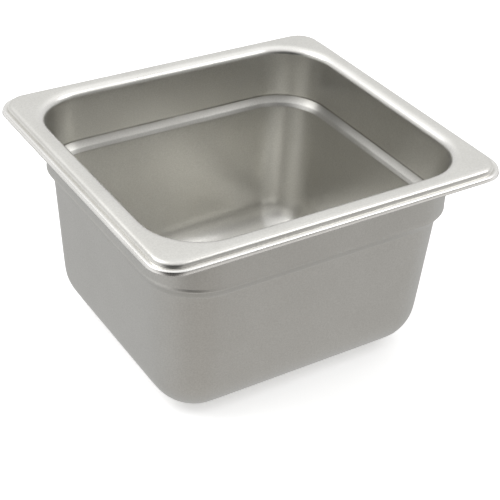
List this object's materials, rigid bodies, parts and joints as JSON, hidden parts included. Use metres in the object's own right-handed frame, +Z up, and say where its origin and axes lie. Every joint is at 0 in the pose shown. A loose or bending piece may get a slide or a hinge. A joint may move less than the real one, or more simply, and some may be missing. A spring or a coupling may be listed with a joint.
{
  "type": "deli food pan",
  "caption": "Deep-drawn stainless steel food pan with an open top, a flat flange with a turned-down bead, a stacking shoulder and a tapered well with round corners.",
  "frame": {"origin": "middle of the underside, on the surface that the pan stands on", "axes": "+Z up out of the open mouth; +X along the long side; +Y along the short side"},
  "size_m": [0.176, 0.162, 0.1024],
  "materials": {
    "satin_steel": "satin stainless steel, fine drawn grain"
  },
  "bodies": {
    "root": {"pan_shell": "satin_steel"}
  },
  "joints": []
}
